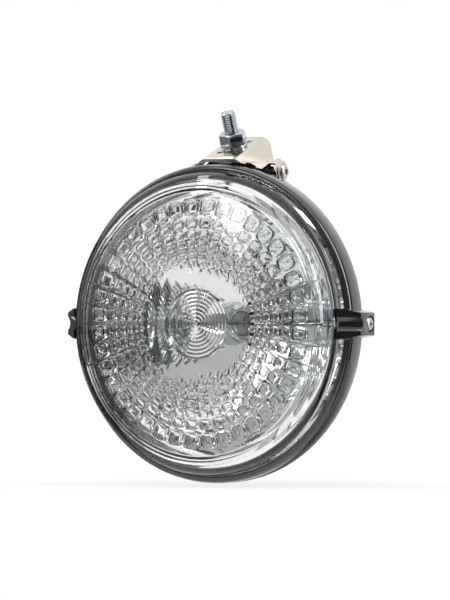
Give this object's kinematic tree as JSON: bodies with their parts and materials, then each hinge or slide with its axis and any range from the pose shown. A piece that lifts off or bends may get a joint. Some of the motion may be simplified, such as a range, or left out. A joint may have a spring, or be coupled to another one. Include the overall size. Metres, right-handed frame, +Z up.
{
  "type": "tractor work light",
  "caption": "Round work light with a drum-shaped pressed glass lens in a black shell, tilting in a steel saddle that swivels on one threaded stud.",
  "frame": {"origin": "on the stud's axis, at the foot of the free thread above the nut", "axes": "+Z up, the lamp faces -Y in the stored pose, +X to the right seen from the front"},
  "size_m": [0.1828, 0.0965, 0.2005],
  "materials": {
    "zinc": "bright zinc plated",
    "saddle_steel": "plated and passivated, slightly warm, glossy",
    "bright_steel": "nickel plated",
    "black_plastic": "satin black",
    "lens_glass": "clear pressed glass",
    "seal_rubber": "matt",
    "reflector_metal": "metallised mirror",
    "bulb_glass": "clear",
    "tungsten": "drawn wire",
    "cap_brass": "plain",
    "insulator": "phenolic"
  },
  "bodies": {
    "mount": {"mounting_stud": "zinc", "stud_nut": "zinc", "spring_washer": "zinc", "flat_washer": "zinc"},
    "saddle": {"bracket": "saddle_steel", "hinge_bolt": "bright_steel", "hinge_nut": "bright_steel", "hinge_washers": "bright_steel"},
    "lamp_head": {"housing": "black_plastic", "hinge_sleeve": "bright_steel", "retaining_ring": "black_plastic", "ring_screws": "bright_steel", "lens": "lens_glass", "lens_gasket": "seal_rubber", "reflector": "reflector_metal", "seat_gasket": "seal_rubber", "bulb_glass": "bulb_glass", "bulb_filament": "tungsten", "bulb_cap": "cap_brass", "bulb_holder": "bright_steel", "holder_screws": "bright_steel", "contact_disc": "insulator", "contact_pin": "cap_brass", "contact_spring": "bright_steel", "live_blade": "cap_brass", "earth_blade": "cap_brass", "cable_grommet": "seal_rubber"}
  },
  "joints": [
    {"name": "stud_swivel", "type": "hinge", "parent": "mount", "child": "saddle", "pos_m": [0, 0, 0], "axis": [0, -0.3746, 0.9272], "range_deg": [-180, 180]},
    {"name": "head_tilt", "type": "hinge", "parent": "saddle", "child": "lamp_head", "pos_m": [0, 0.0088, -0.02179], "axis": [1, 0, 0], "range_deg": [0, 90]}
  ]
}
